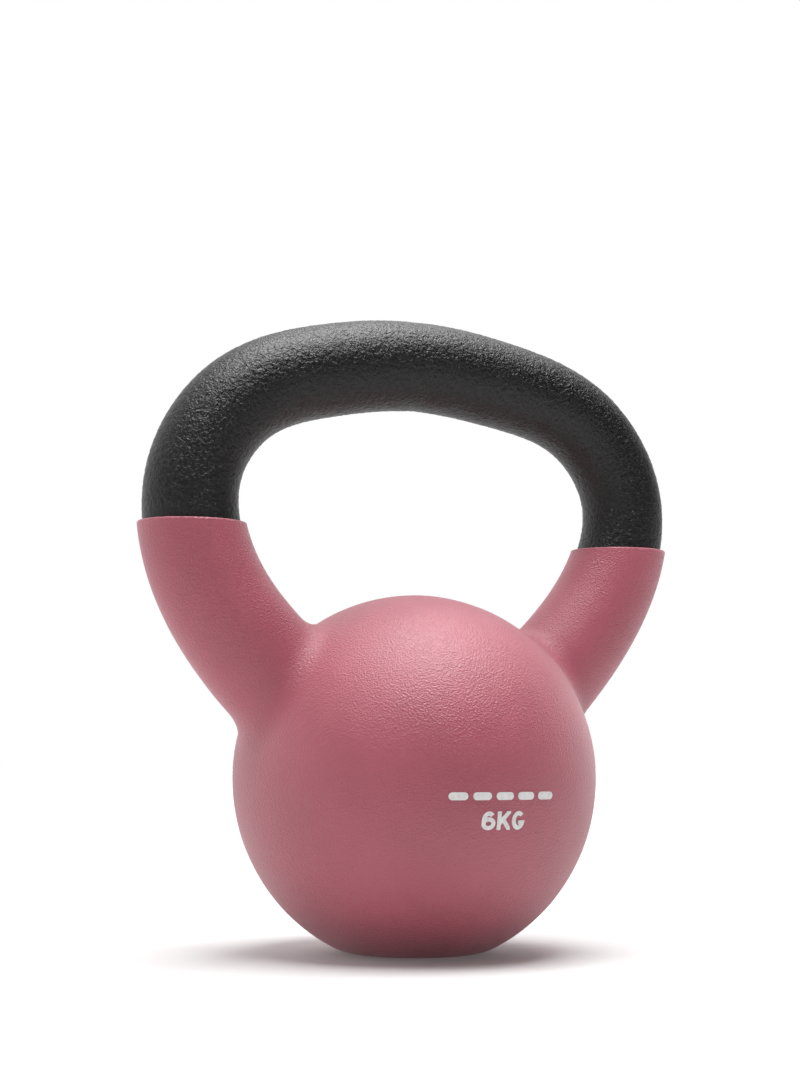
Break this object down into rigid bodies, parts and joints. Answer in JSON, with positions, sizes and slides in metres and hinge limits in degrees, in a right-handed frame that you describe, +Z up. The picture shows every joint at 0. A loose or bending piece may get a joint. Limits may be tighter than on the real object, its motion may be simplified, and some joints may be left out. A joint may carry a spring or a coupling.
{
  "type": "kettlebell",
  "caption": "Cast-iron kettlebell with a vinyl-jacketed ball and horns, a textured black loop handle and a flat base.",
  "frame": {"origin": "centre of the flat base, on the surface that the kettlebell stands on", "axes": "+Z up through the ball to the handle, +X across the loop of the handle, -Y towards the printed weight mark"},
  "size_m": [0.1754, 0.1101, 0.1925],
  "materials": {
    "cast_iron": "as cast, fine sand texture",
    "black_textured_coat": "pebbled charcoal-black coat, low sheen",
    "rose_vinyl": "fine leather-like grain, satin",
    "white_ink": "matt screen-printed ink"
  },
  "bodies": {
    "root": {"iron_casting": "cast_iron", "handle_coat": "black_textured_coat", "vinyl_jacket": "rose_vinyl", "weight_mark": "white_ink"}
  },
  "joints": []
}
